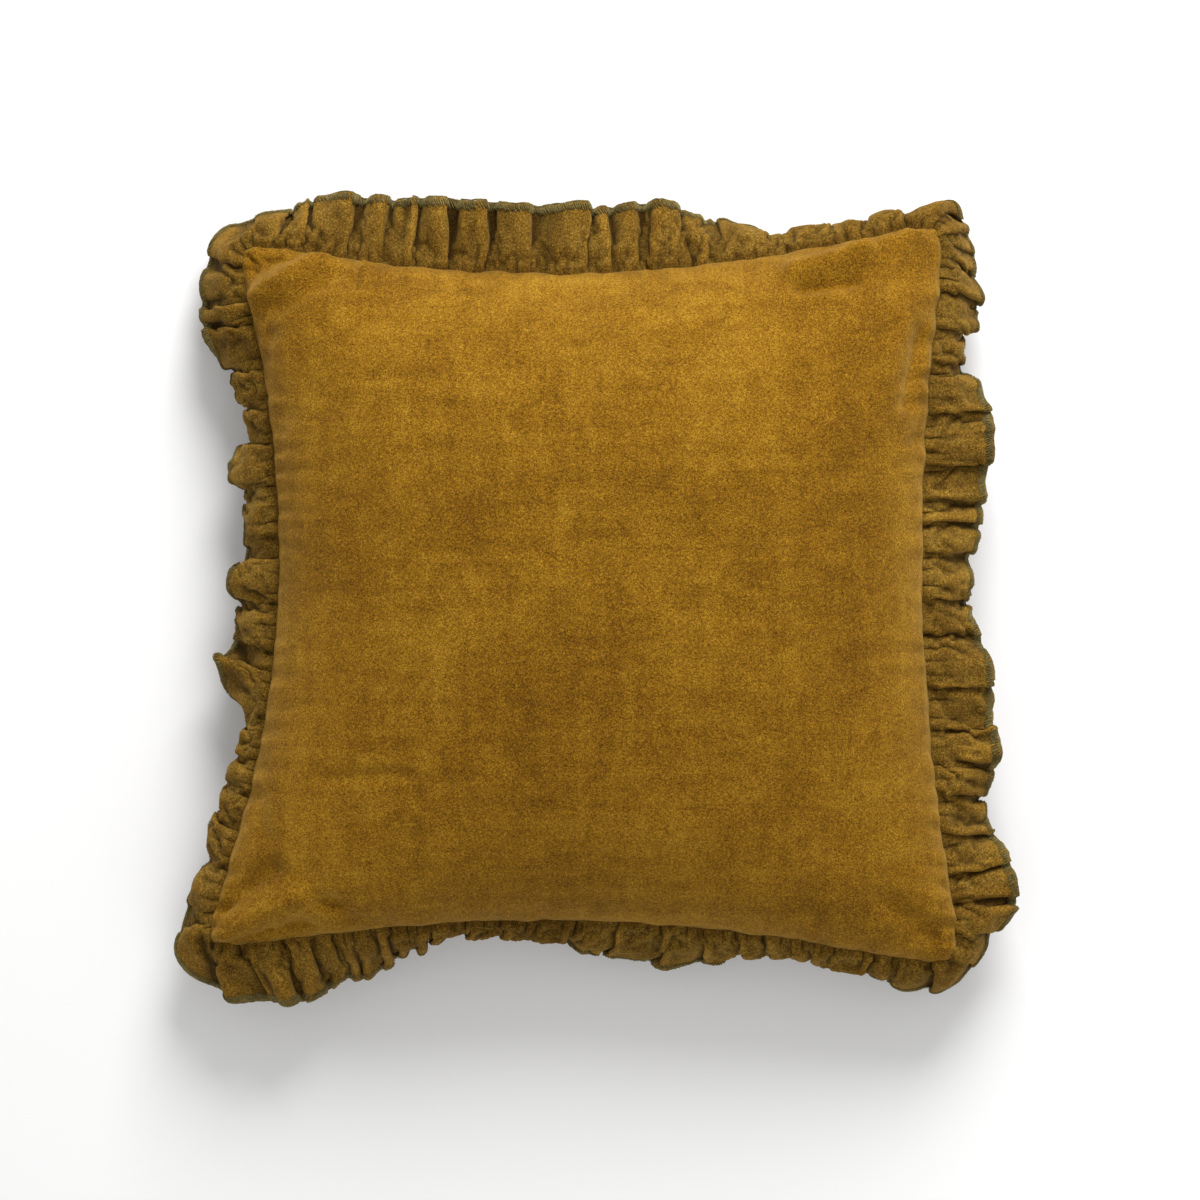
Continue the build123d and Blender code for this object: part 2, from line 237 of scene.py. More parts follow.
def tubes(name, paths, radius, sides=5):
    """One mesh of many thin round threads. paths is an array of lines with equally many points."""
    paths = np.asarray(paths, float)
    along = unit(np.gradient(paths, axis=1))
    side = unit(np.cross(along, (0.31, 0.22, 0.93)))
    up = np.cross(along, side)
    turn = np.linspace(0, 2 * np.pi, sides, endpoint=False)[:, None]
    ring = side[:, :, None] * np.cos(turn) + up[:, :, None] * np.sin(turn)
    points = paths[:, :, None] + radius * ring
    count, steps = paths.shape[:2]
    index = np.arange(count * steps * sides).reshape(count, steps, sides)
    here, there = index[:, :-1], index[:, 1:]
    walls = np.stack([here, np.roll(here, -1, 2), np.roll(there, -1, 2), there], -1)
    faces = walls.reshape(-1, 4).tolist() + index[:, 0, ::-1].tolist() + index[:, -1].tolist()
    return mesh_object(name, points, faces)


def stitches(line, lift, length, gap, rise):
    """Running stitches along an open line: each rises along lift and dives in at its ends."""
    far = lengths_along(line)
    count = int(far[-1] / (length + gap) - 1e-6)  # the same whole number however the length rounds
    starts = (np.arange(count) + 0.5) * far[-1] / count - length / 2
    shares = np.array([0.0, 0.18, 0.5, 0.82, 1.0])
    heights = np.array([-0.8, 0.6, 1.0, 0.6, -0.8]) * rise
    spots = starts[:, None] + shares * length
    base = np.stack([np.interp(spots, far, line[:, k]) for k in range(3)], -1)
    up = np.stack([np.interp(spots, far, lift[:, k]) for k in range(3)], -1)
    return base + up * heights[None, :, None]


# ---- materials
def new_material(name, colour, roughness, **more):
    """A material with one Principled shader, and its constants set on the shader itself."""
    material = bpy.data.materials.new(name)
    material.use_nodes = True
    shader = material.node_tree.nodes["Principled BSDF"]
    shader.inputs["Base Color"].default_value = (*colour, 1)
    shader.inputs["Roughness"].default_value = roughness
    for key, value in more.items():
        shader.inputs[key.replace("_", " ")].default_value = value
    return material, material.node_tree, shader


def coordinates(tree, scale=(1, 1, 1), turn=0.0):
    """The object's own coordinates, in metres, stretched and turned about Z."""
    source = tree.nodes.new("ShaderNodeTexCoord")
    mapping = tree.nodes.new("ShaderNodeMapping")
    mapping.inputs["Scale"].default_value = scale
    mapping.inputs["Rotation"].default_value = (0, 0, turn)
    tree.links.new(source.outputs["Object"], mapping.inputs["Vector"])
    return mapping.outputs["Vector"]


def noise(tree, place, scale, detail=2.0, rough=0.5, warp=0.0):
    node = tree.nodes.new("ShaderNodeTexNoise")
    node.inputs["Scale"].default_value = scale
    node.inputs["Detail"].default_value = detail
    node.inputs["Roughness"].default_value = rough
    node.inputs["Distortion"].default_value = warp
    tree.links.new(place, node.inputs["Vector"])
    return node.outputs["Fac"]


def stripes(tree, place, scale, warp, direction="X"):
    node = tree.nodes.new("ShaderNodeTexWave")
    node.bands_direction = direction
    node.inputs["Scale"].default_value = scale
    node.inputs["Distortion"].default_value = warp
    tree.links.new(place, node.inputs["Vector"])
    return node.outputs["Fac"]


def ramp(tree, value, stops):
    """A colour ramp over a value. stops are (position, colour)."""
    node = tree.nodes.new("ShaderNodeValToRGB")
    while len(node.color_ramp.elements) < len(stops):
        node.color_ramp.elements.new(0.5)
    for element, (place, colour) in zip(node.color_ramp.elements, stops):
        element.position = place
        element.color = (*colour, 1)
    tree.links.new(value, node.inputs["Fac"])
    return node.outputs["Color"]


def multiplied(tree, one, other):
    """Two colours multiplied together."""
    node = tree.nodes.new("ShaderNodeMix")
    node.data_type, node.blend_type = "RGBA", "MULTIPLY"
    node.inputs["Factor"].default_value = 1.0
    for key, value in (("A", one), ("B", other)):
        socket = [x for x in node.inputs if x.name == key and x.type == "RGBA"][0]
        tree.links.new(value, socket)
    return [x for x in node.outputs if x.type == "RGBA"][0]


def sums(tree, *weighted):
    """A sum of values, each times its weight."""
    total = None
    for value, weight in weighted:
        node = tree.nodes.new("ShaderNodeMath")
        node.operation = "MULTIPLY_ADD"
        tree.links.new(value, node.inputs[0])
        node.inputs[1].default_value = weight
        node.inputs[2].default_value = 0.0
        if total is not None:
            tree.links.new(total, node.inputs[2])
        total = node.outputs[0]
    return total


def dress(tree, shader, colour, height, distance, strength):
    """Gives a shader its colour, and a bump of that height and distance in metres."""
    tree.links.new(colour, shader.inputs["Base Color"])
    node = tree.nodes.new("ShaderNodeBump")
    node.inputs["Distance"].default_value = distance
    node.inputs["Strength"].default_value = strength
    tree.links.new(height, node.inputs["Height"])
    tree.links.new(node.outputs["Normal"], shader.inputs["Normal"])


def velvet_material(name, dark, middle, light, sheen=0.32, paint_fold_shade=False):
    """Cotton velvet: pile brushed into soft patches, faint streaks and a golden sheen.

    Its last argument paints shade and highlight: it darkens the pile in the hollows of the folds, where
    a value stored on each point nears 1, and lightens it on the crests.
    """
    material, tree, shader = new_material(
        name, middle, 0.85, Sheen_Weight=sheen, Sheen_Roughness=0.45,
        Sheen_Tint=(1.0, 0.66, 0.20, 1), Specular_IOR_Level=0.05,
    )
    plain = coordinates(tree)
    along = coordinates(tree, (3, 40, 12), 0.10)
    across = coordinates(tree, (60, 5, 14), -0.06)
    broad = noise(tree, plain, 9, 3, 0.55, 0.4)
    crushed = noise(tree, plain, 48, 4, 0.68, 0.9)
    streak = noise(tree, along, 3.2, 3, 0.6)
    upright = noise(tree, across, 2.2, 2, 0.5)
    pile = noise(tree, plain, 760, 3, 0.75, 0.4)
    speck = noise(tree, plain, 1500, 2, 0.6)
    nap = sums(tree, (broad, 0.20), (crushed, 0.24), (streak, 0.12), (upright, 0.08), (pile, 0.62))
    colour = ramp(tree, nap, [(0.51, dark), (0.63, middle), (0.78, light)])
    grain = ramp(tree, speck, [(0.36, (0.40, 0.36, 0.30)), (0.60, (1.04, 1.04, 1.04))])
    colour = multiplied(tree, colour, grain)
    if paint_fold_shade:
        # Painted shade and highlight: the pile darkens to about a quarter in the hollows of the folds
        # and brightens up to 1.4 times on their crests.
        fold_shade = tree.nodes.new("ShaderNodeAttribute")
        fold_shade.attribute_name = "fold_shade"
        depth = sums(tree, (fold_shade.outputs["Fac"], 0.8), (speck, 0.1), (crushed, 0.1))
        stops = [(0.15, (1.40, 1.34, 1.15)), (0.48, (1.0, 1.0, 1.0)), (0.85, (0.24, 0.21, 0.18))]
        colour = multiplied(tree, colour, ramp(tree, depth, stops))
    height = sums(tree, (pile, 0.45), (crushed, 0.50), (speck, 0.20), (streak, 0.20))
    dress(tree, shader, colour, height, 0.0011, 1.0)
    return material


def thread_material(name, dark, light, scale=900.0, roughness=0.8, sheen=0.3):
    """Spun thread: two tones of one colour, with loose fibres."""
    material, tree, shader = new_material(
        name, light, roughness, Sheen_Weight=sheen, Sheen_Roughness=0.5,
        Sheen_Tint=(1.0, 0.85, 0.40, 1), Specular_IOR_Level=0.10,
    )
    place = coordinates(tree)
    fibres = noise(tree, place, scale, 3, 0.7, 1.0)
    patches = noise(tree, place, 70, 2, 0.6)
    tone = sums(tree, (fibres, 0.65), (patches, 0.35))
    dress(tree, shader, ramp(tree, tone, [(0.40, dark), (0.62, light)]), fibres, 0.0005, 0.9)
    return material


def woven_material(name, dark, light, threads, roughness):
    """Plain weave: two sets of threads over and under each other."""
    material, tree, shader = new_material(
        name, light, roughness, Sheen_Weight=0.15, Sheen_Roughness=0.5, Specular_IOR_Level=0.25,
    )
    place = coordinates(tree)
    warp = stripes(tree, place, threads, 0.4, "X")
    weft = stripes(tree, place, threads, 0.4, "Y")
    slub = noise(tree, place, 90, 4, 0.6)
    fuzz = noise(tree, place, 1800, 2, 0.7)
    weave = sums(tree, (warp, 0.35), (weft, 0.35), (fuzz, 0.30))
    tone = sums(tree, (weave, 0.6), (slub, 0.4))
    dress(tree, shader, ramp(tree, tone, [(0.30, dark), (0.62, light)]), weave, 0.0003, 0.8)
    return material


def nylon_material(name, colour):
    """Dyed nylon monofilament: smooth, slightly see-through, with faint drawing marks."""
    material, tree, shader = new_material(name, colour, 0.34, Subsurface_Weight=0.15)
    marks = noise(tree, coordinates(tree), 1400, 2, 0.6)
    dark = tuple(0.6 * c for c in colour)
    dress(tree, shader, ramp(tree, marks, [(0.35, dark), (0.65, colour)]), marks, 0.0001, 0.4)
    return material


def brass_material(name):
    """Antique brass plating: brown in the hollows, rubbed brighter on the flats, finely scuffed."""
    material, tree, shader = new_material(name, (0.42, 0.29, 0.12), 0.36, Metallic=1.0)
    place = coordinates(tree)
    patina = noise(tree, place, 260, 5, 0.65, 0.6)
    scuffs = noise(tree, coordinates(tree, (1, 8, 8)), 900, 3, 0.6)
    stops = [(0.36, (0.13, 0.085, 0.035)), (0.55, (0.42, 0.29, 0.12)), (0.75, (0.62, 0.46, 0.22))]
    colour = ramp(tree, patina, stops)
    gloss = ramp(tree, scuffs, [(0.3, (0.26,) * 3), (0.7, (0.52,) * 3)])
    tree.links.new(gloss, shader.inputs["Roughness"])
    dress(tree, shader, colour, sums(tree, (patina, 0.6), (scuffs, 0.4)), 0.00015, 0.6)
    return material


def fibre_material(name):
    """Hollow polyester fibre: white, matt, clumped."""
    material, tree, shader = new_material(
        name, (0.80, 0.80, 0.78), 0.9, Sheen_Weight=0.3, Sheen_Roughness=0.6, Subsurface_Weight=0.1,
    )
    place = coordinates(tree)
    clumps = noise(tree, place, 45, 5, 0.65, 2.5)
    strands = noise(tree, coordinates(tree, (1, 1, 3)), 420, 4, 0.7, 3.0)
    tone = sums(tree, (clumps, 0.5), (strands, 0.5))
    colour = ramp(tree, tone, [(0.35, (0.60, 0.60, 0.57)), (0.62, (0.86, 0.86, 0.84))])
    dress(tree, shader, colour, tone, 0.002, 0.8)
    return material


FACE_VELVET = velvet_material(
    "velvet", (0.140, 0.060, 0.0040), (0.285, 0.133, 0.0075), (0.47, 0.258, 0.0220)
)
# The ruffle's velvet is the face's cloth, coloured darker and browner; the darkening is painted shade
# of the gathers.
RUFFLE_VELVET_SHADED = velvet_material(
    "ruffle_velvet_shaded", (0.078, 0.040, 0.0050), (0.172, 0.092, 0.0120), (0.35, 0.215, 0.0380),
    sheen=0.22, paint_fold_shade=True,
)
EDGE_THREAD = thread_material("edge_thread", (0.042, 0.028, 0.004), (0.25, 0.190, 0.060), sheen=0.25)
SEWING_THREAD = thread_material("sewing_thread", (0.12, 0.065, 0.010), (0.28, 0.16, 0.03), 1500, 0.55)
TAPE_WEAVE = woven_material("zip_tape", (0.10, 0.058, 0.012), (0.23, 0.14, 0.03), 330, 0.7)
COIL_NYLON = nylon_material("zip_coil", (0.22, 0.14, 0.035))
BRASS = brass_material("antique_brass")
PAD_COTTON = woven_material("pad_cotton", (0.62, 0.60, 0.55), (0.84, 0.82, 0.77), 420, 0.85)
PAD_THREAD = thread_material("pad_thread", (0.66, 0.64, 0.60), (0.86, 0.84, 0.80), 1500, 0.6)
PAD_FIBRE = fibre_material("pad_filling")


# ---- cushion shape
def plan(a, b):
    """Where a point of the square panel lies in plan. a and b run from -1 to 1."""
    pull = CORNER_DRAW * (a * a * b * b) ** 6
    a, b = a * (1 - pull), b * (1 - pull)
    corners = {k: np.array(v) for k, v in CORNERS.items()}
    s, t = ((1 + a) / 2)[..., None], ((1 + b) / 2)[..., None]
    low = corners["low_left"] * (1 - s) + corners["low_right"] * s
    top = corners["top_left"] * (1 - s) + corners["top_right"] * s
    xy = low * (1 - t) + top * t
    across, along = (1 - a * a)[..., None], (1 - b * b)[..., None]
    xy = xy + across * t ** BOW_FALL * np.array([0, -BOWS["top"]])
    xy = xy + across * (1 - t) ** BOW_FALL * np.array([0, BOWS["bottom"]])
    xy = xy + along * s ** BOW_FALL * np.array([-BOWS["right"], 0])
    xy = xy + along * (1 - s) ** BOW_FALL * np.array([BOWS["left"], 0])
    return xy


def swell(a, b):
    """Height share of the stuffed panel: full in the middle, nothing at the seam."""
    rise = (1 - np.abs(a) ** SQUARE) * (1 - np.abs(b) ** SQUARE)
    return np.maximum(rise, 0) ** STEEP


def seam_height(a, b):
    """The seam rises and falls a little on its way round."""
    angle = np.arctan2(b, a)
    near_edge = np.maximum(np.abs(a), np.abs(b)) ** 3
    wave = sum(height * np.sin(count * angle + phase) for count, phase, height in SEAM_WAVES)
    return SEAM_Z + wave * near_edge - CORNER_SINK * (a * b) ** 4


def soft_floor(z):
    """Heights that turn smoothly onto the floor instead of going through it."""
    return CLEAR + FLOOR_ROUND * np.logaddexp(0, (z - CLEAR) / FLOOR_ROUND)


def drawn_panels():
    """Front and back panels as grids of points, before the cloth is relaxed."""
    base = plan(A, B)
    edge = smoothstep(np.maximum(np.abs(A), np.abs(B)), 0.93, 1.0)
    pulls = [patchy(seed, (A + 1) / 2, (B + 1) / 2, 19) for seed in (71, 72)]
    base = base + SEAM_PULL * edge[..., None] * np.stack(pulls, -1)
    full, seam_z = swell(A, B), seam_height(A, B)
    front = np.dstack([base, seam_z + CROWN * full])
    low = np.minimum(soft_floor(seam_z - BELLY * full), seam_z)
    back = np.dstack([base, np.where(full < 1e-6, seam_z, low)])
    return front, back


# ---- cloth simulation
STIFFNESS = 30.0
COVER_FRAMES, COVER_CAP = 16, 0.010  # how long a cloth runs, and how far it may move
RUFFLE_FRAMES, RUFFLE_CAP = 8, 0.006
COVER_EXTRA = 0.05  # extra cloth near the seam, as a share


def cloth_settings(obj, pin, pressure=0.0, bend=1.0, gravity=0.0, mass=0.0003):
    modifier = obj.modifiers.new("cloth", "CLOTH")
    s = modifier.settings
    s.quality = 6
    s.mass = mass
    s.tension_stiffness = s.compression_stiffness = STIFFNESS
    s.shear_stiffness = STIFFNESS / 3
    s.bending_stiffness = bend
    s.tension_damping = s.compression_damping = s.shear_damping = 8
    s.air_damping = 3
    s.vertex_group_mass = pin
    s.effector_weights.gravity = gravity
    if pressure:
        s.use_pressure = True
        s.uniform_pressure_force = pressure
    modifier.collision_settings.distance_min = 0.001
    return modifier


def run_cloth(obj, modifier, frames, cap):
    """Runs the cloth and returns how far each point moved, none further than cap."""
    scene = bpy.context.scene
    modifier.point_cache.frame_end = frames
    scene.frame_end = frames
    rest = np.empty(len(obj.data.vertices) * 3)
    obj.data.vertices.foreach_get("co", rest)
    for f in range(1, frames + 1):
        scene.frame_set(f)
    moved = obj.evaluated_get(bpy.context.evaluated_depsgraph_get())
    now = np.empty_like(rest)
    moved.data.vertices.foreach_get("co", now)
    obj.modifiers.remove(modifier)
    scene.frame_set(1)
    shift = np.nan_to_num((now - rest).reshape(-1, 3))
    length = np.linalg.norm(shift, axis=1, keepdims=True)
    return shift * np.minimum(1, cap / np.maximum(length, 1e-9))


def relax_cover(front, back):
    """Blows the two panels up as cloth sewn together at the seam, which is held."""
    n = GRID + 1
    rim = np.zeros((n, n), bool)
    rim[[0, -1]] = rim[:, [0, -1]] = True
    index = np.full((2, n, n), -1)
    index[0] = np.arange(n * n).reshape(n, n)
    index[1][rim] = index[0][rim]
    index[1][~rim] = n * n + np.arange((~rim).sum())
    points = np.concatenate([front.reshape(-1, 3), back[~rim]])
    faces = quads_over(index[0], flip=True) + quads_over(index[1])
    obj = mesh_object("cover_sim", points, faces)
    pin = obj.vertex_groups.new(name="pin")
    pin.add(index[0][rim].tolist(), 1.0, "REPLACE")
    loose = obj.vertex_groups.new(name="loose")
    edge = np.maximum(np.abs(A), np.abs(B))
    ease = smoothstep(edge, 0.6, 1.0) * (0.75 + 0.25 * patchy(21, (A + 1) / 2, (B + 1) / 2, 5))
    for k, share in enumerate(np.concatenate([ease.reshape(-1), ease[~rim]])):
        loose.add([k], float(np.clip(share, 0, 1)), "REPLACE")
    modifier = cloth_settings(obj, "pin", pressure=3.0, bend=0.6)
    modifier.settings.vertex_group_shrink = "loose"
    modifier.settings.shrink_min = 0.0
    modifier.settings.shrink_max = -COVER_EXTRA
    modifier.collision_settings.use_collision = False
    shift = run_cloth(obj, modifier, COVER_FRAMES, COVER_CAP)
    bpy.data.objects.remove(obj)
    keep = smoothstep(edge, 0.35, 0.75)[..., None]
    return front + shift[index[0]] * keep, back + shift[index[1]] * keep


def creased(grid, normals):
    """The front with its creases, edge puckers and the slow waves of the filling."""
    u, v = grid[..., 0] / PANEL + 0.5, grid[..., 1] / PANEL + 0.5
    out = sum(height * patchy(seed, u, v, count) for seed, count, height in FILLING_WAVES)
    for start, end, depth, width in CREASES:
        p, q = np.array(start), np.array(end)
        share = np.clip(((grid[..., :2] - p) @ (q - p)) / ((q - p) @ (q - p)), 0, 1)
        away = np.linalg.norm(grid[..., :2] - p - share[..., None] * (q - p), axis=-1)
        out -= depth * np.exp(-(away / width) ** 2)
    return grid + normals * (out * EDGE_FADE)[..., None] + normals * puckers(31)[..., None]


def puckers(seed):
    """Small ridges square to the seam, strongest just inside it."""
    angle = np.where(np.abs(A_FINE) > np.abs(B_FINE), B_FINE, A_FINE)
    side = np.where(np.abs(A_FINE) > np.abs(B_FINE), np.sign(A_FINE), 2 * np.sign(B_FINE))
    rng = np.random.default_rng(seed)
    out = np.zeros_like(A_FINE)
    for k in PUCKER_COUNTS:
        phase = rng.uniform(0, 2 * np.pi, 5)[(side + 2).astype(int)]
        out += rng.normal() * np.cos(np.pi * k * angle + phase)
    fade = np.exp(-EDGE_DEPTH / PUCKER_FADE) * smoothstep(EDGE_DEPTH, 0, 0.0035)
    return PUCKER * out / np.abs(out).max() * fade


# A and B place a panel's points from -1 to 1, closer together towards the seam.
STEPS = np.linspace(-1, 1, GRID + 1)
STEPS = 0.5 * STEPS + 0.5 * np.sin(np.pi / 2 * STEPS)
A, B = np.meshgrid(STEPS, STEPS, indexing="ij")
A_FINE, B_FINE = (finer(finer(g, FINE, 0), FINE, 1) for g in (A, B))
MEAN_HALF = 0.22  # about half the cushion's side
EDGE_DEPTH = (1 - np.maximum(np.abs(A_FINE), np.abs(B_FINE))) * MEAN_HALF  # in from the seam
EDGE_FADE = smoothstep(EDGE_DEPTH, 0, 0.006)

front, back = drawn_panels()
front, back = relax_cover(front, back)
front, back = (finer(finer(g, FINE, 0), FINE, 1) for g in (front, back))
front = creased(front, grid_normals(front))
back = back - grid_normals(back) * (BACK_PUCKER * puckers(32))[..., None]
back[..., 2] = np.maximum(back[..., 2], CLEAR)


# ---- zip seat in the back
ZIP_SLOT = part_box("zip_coil_upper")[1].x + 0.008  # half the opening's length
ZIP_HALF = 0.0036  # half the opening's width
ZIP_RUN_OUT = 0.050  # from the slot's end to the undisturbed velvet
ZIP_BED = (0.014, 0.040)  # flat this far beside the zip, and level again
ZIP_SPREAD = 0.016  # how far beside the zip its opening spreads
ZIP_OUT = unit(np.array([0, -0.787, -0.617]))  # out of the cushion
ZIP_UP = np.array([0, ZIP_OUT[2], -ZIP_OUT[1]])  # across the tape, towards the seam
ZIP_AT = np.array([0, -0.183, 0.030])  # the zip's middle, on the velvet's outer face


def seat_zip(back):
    """Presses the back flat round the zip and cuts it there: (panel towards the seam, the rest)."""
    local = back - ZIP_AT
    x, up, out = local[..., 0], local @ ZIP_UP, local @ ZIP_OUT
    middle = CELLS // 2
    low_half = np.arange(CELLS + 1) < middle
    cut = np.where(low_half, np.abs(up[middle]), 9).argmin()
    beside = 1 - smoothstep(np.abs(x), ZIP_SLOT, ZIP_SLOT + ZIP_RUN_OUT)
    near = beside * (1 - smoothstep(np.abs(up), *ZIP_BED)) * low_half[None]
    up_new = up - up[:, cut:cut + 1] * near
    out_new = out * (1 - near)
    gap = ZIP_HALF * (1 - smoothstep(np.abs(x), ZIP_SLOT - 0.004, ZIP_SLOT))
    spread = gap * (1 - smoothstep(np.abs(up_new), 0, ZIP_SPREAD))
    flat = ZIP_AT + np.stack([x, np.zeros_like(x), np.zeros_like(x)], -1)
    panels = []
    for way, rows in ((1, slice(0, cut + 1)), (-1, slice(cut, None))):
        moved = flat + (up_new + way * spread)[..., None] * ZIP_UP + out_new[..., None] * ZIP_OUT
        panels.append(np.where(low_half[None, :, None], moved, back)[:, rows])
    return panels


near_seam, rest_of_back = seat_zip(back)


# ---- the seam as one closed line
def rim_of(grid):
    """The panel's edge, clockwise from the top left corner seen from above."""
    return np.concatenate([grid[:-1, -1], grid[-1, :0:-1], grid[:0:-1, 0], grid[0, :-1]])


def outward_of(line):
    """Level direction out of the cushion at each seam point, turning smoothly at the corners."""
    along = unit(np.roll(line, -4, 0) - np.roll(line, 4, 0))
    out = np.stack([-along[:, 1], along[:, 0], np.zeros(len(line))], 1)
    spread = 9
    weights = np.exp(-0.5 * (np.arange(-3 * spread, 3 * spread + 1) / spread) ** 2)
    weights /= weights.sum()
    wrapped = np.concatenate([out[-3 * spread:], out, out[:3 * spread]])
    return unit(np.stack([np.convolve(wrapped[:, k], weights, "valid") for k in range(3)], 1))


SEAM = rim_of(front)
SEAM_OUT = outward_of(SEAM)
SEAM_FAR = lengths_along(np.concatenate([SEAM, SEAM[:1]]))
SEAM_LENGTH = SEAM_FAR[-1]
UP = np.array([0.0, 0.0, 1.0])


# ---- ruffle
RUFFLE_WIDTH = 0.042  # from the seam to the overlocked edge
RUFFLE_INSIDE = 0.0084  # allowance sewn between the panels
ROW_STEP = 0.0018
STRIP_STEP = 0.0013  # spacing of the points along the strip
SIM_ROWS, SIM_COLUMNS = 2, 3  # the simulated strip has every second row and third column
FLATTEN = 0.74  # height left in the gathers, which lie pressed flat
BROAD_CREST = 0.45  # how much broader the crests are than the hollows between them
LIFT_TILT = 0.3  # how far the gathers lean out with the strip, instead of standing up
FULLNESS = 1.70  # length of the strip over the seam's
SLOPE = (0.85, 0.60)  # a gather's steepest turn at the seam, and how much more at the hem
MOST_TILT = 1.75  # the most that the strip turns down
LEAN = (0.35, 0.9)  # how far the gathers lean to one side: mean and variation
SLANT = 0.20  # how far they slant along the seam, as a share of their width
LIFT = 0.0030  # waves of the hem up and down
REACH_JITTER = 0.0030  # how far one gather's reach differs from the next one's
TUCK = 0.0022  # height of the small tucks beside the seam
TUCK_PITCH = 0.0088
TUCK_REACH = (0.015, 0.008)  # how far out the tucks run: mean and variation

# Mean width of one gather at the seam, on each side.
GATHERS = {"top": 0.0225, "right": 0.0200, "bottom": 0.0180, "left": 0.0240}

# How far the ruffle shows beyond the seam, in millimetres at even steps along each side, clockwise.
REACH = {
    "top": (25, 33, 38, 38, 38, 42, 42, 39, 39, 41, 41, 42, 42, 41, 30, 23, 18, 12, 13, 15),
    "right": (27, 26, 32, 20, 28, 41, 41, 36, 38, 28, 30, 40, 40, 41, 41, 36, 27, 39, 40, 38),
    "bottom": (24, 23, 21, 15, 19, 15, 24, 28, 31, 28, 27, 17, 4, 6, 13, 27, 37, 36, 41, 42),
    "left": (34, 22, 17, 21, 20, 18, 10, 28, 39, 26, 31, 33, 26, 29, 36, 8, 18, 31, 38, 34),
}


def pleat_shape(theta, t):
    """A gather's shape as a meander: (share along the seam, height over its width) at t from 0 to 1."""
    fine = np.linspace(0, 1, 241)
    middle = 2 * np.pi * (fine[1:] + fine[:-1]) / 2
    turn = theta * np.sin(middle + BROAD_CREST * np.sin(middle))
    along = np.concatenate([[0], np.cumsum(np.cos(turn))])
    up = np.concatenate([[0], np.cumsum(np.sin(turn))])
    up = up - (up.max() + up.min()) / 2
    return np.interp(t, fine, along / along[-1]), np.interp(t, fine, up / along[-1])


def tilt_profile(share):
    """How the strip turns down between the seam and the hem, as a share of its full tilt."""
    return 0.30 + 0.70 * smoothstep(share, 0, 0.65)


def gather_cells(rng):
    """Edges of the gathers along the seam: wider and narrower, and small at the corners."""
    edges = [0.0]
    for k, side in enumerate(SIDES):
        start, end = SEAM_FAR[k * CELLS], SEAM_FAR[(k + 1) * CELLS]
        count = int((end - start) / GATHERS[side])
        widths = rng.uniform(0.28, 1.0, count) ** 1.2
        middle = (np.cumsum(widths) - widths / 2) / widths.sum()
        widths *= 0.50 + 0.50 * smoothstep(np.minimum(middle, 1 - middle), 0.02, 0.09)
        edges += list(start + np.cumsum(widths) * (end - start) / widths.sum())
    return np.array(edges)


def round_seam(seed, wavelength, s):
    """Smooth noise round the seam, read at the distances s along it."""
    ticks = np.linspace(0, SEAM_LENGTH, 4000, endpoint=False)
    return np.interp(s, ticks, looped(seed, SEAM_LENGTH, wavelength, len(ticks)), period=SEAM_LENGTH)


def reach_at(s):
    """How far the ruffle shows beyond the seam at the distances s along it."""
    places, reach = [], []
    for k, side in enumerate(SIDES):
        start, end = SEAM_FAR[k * CELLS], SEAM_FAR[(k + 1) * CELLS]
        steps = len(REACH[side])
        places.append(start + np.arange(steps) / steps * (end - start))
        reach.append(np.array(REACH[side]) / 1000)
    return np.interp(s, np.concatenate(places), np.concatenate(reach), period=SEAM_LENGTH)


def tilt_for(reach):
    """The full tilt at which the strip shows that far beyond the seam."""
    tilts = np.linspace(0, MOST_TILT, 200)
    level_share = np.cos(tilts[:, None] * tilt_profile(np.linspace(0, 1, 60))).mean(1)
    return np.interp(-reach / RUFFLE_WIDTH, -level_share, tilts)


def small_tucks(s):
    """Height of the small tucks where the gathers are sewn in, and how far out each one runs."""
    phase = np.pi * s / TUCK_PITCH + 2.5 * looped(12, SEAM_LENGTH, 0.05, len(s))
    shape = np.abs(np.sin(phase)) ** 0.6 - 0.65
    height = TUCK * shape * (1 + 0.5 * looped(13, SEAM_LENGTH, 0.03, len(s)))
    return height, TUCK_REACH[0] + TUCK_REACH[1] * looped(14, SEAM_LENGTH, 0.04, len(s))


